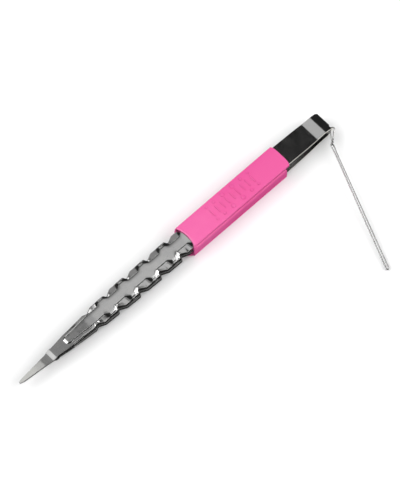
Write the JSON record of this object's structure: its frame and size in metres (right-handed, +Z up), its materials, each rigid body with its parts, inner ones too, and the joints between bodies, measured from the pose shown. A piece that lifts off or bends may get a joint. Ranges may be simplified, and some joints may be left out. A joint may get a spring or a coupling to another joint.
{
  "type": "threading clip",
  "caption": "Folded steel strip with two toothed, pointed spring jaws, a sliding plastic grip sleeve that locks them, and a doubled wire threading loop hinged in the fold",
  "frame": {"origin": "middle of the grip sleeve's flat underside, sleeve in its locked place", "axes": "+X runs along the tool from the jaw tips to the fold, +Z is up out of the embossed face, -Y is the side that the wire loop swings out on"},
  "size_m": [0.1311, 0.054, 0.0072],
  "materials": {
    "strip_steel": "polished stainless sheet",
    "sleeve_plastic": "semi-gloss moulded, pink",
    "wire_steel": "bright drawn wire"
  },
  "bodies": {
    "strip_fold": {"spring_bow": "strip_steel"},
    "upper_jaw": {"upper_jaw": "strip_steel"},
    "lower_jaw": {"lower_jaw": "strip_steel"},
    "sleeve": {"grip_sleeve": "sleeve_plastic"},
    "loop": {"threader_loop": "wire_steel"}
  },
  "joints": [
    {"name": "sleeve_slide", "type": "slide", "parent": "strip_fold", "child": "sleeve", "axis": [1, 0, 0], "range_m": [0, 0.012]},
    {"name": "upper_jaw_flex", "type": "hinge", "parent": "strip_fold", "child": "upper_jaw", "pos_m": [-0.00655, 0, 0.00598], "axis": [0, 1, 0], "range_deg": [0, 1.7]},
    {"name": "lower_jaw_flex", "type": "hinge", "parent": "strip_fold", "child": "lower_jaw", "pos_m": [-0.00655, 0, 0.00103], "axis": [0, -1, 0], "range_deg": [0, 1.7]},
    {"name": "loop_swing", "type": "hinge", "parent": "strip_fold", "child": "loop", "pos_m": [0.03973, -0.00355, 0.0035], "axis": [0, 0, 1], "range_deg": [-20, 110]}
  ],
  "couplings": [
    {"joint": "upper_jaw_flex", "follows": "sleeve_slide", "rad_per_m": 2.4726},
    {"joint": "lower_jaw_flex", "follows": "sleeve_slide", "rad_per_m": 2.4726}
  ]
}
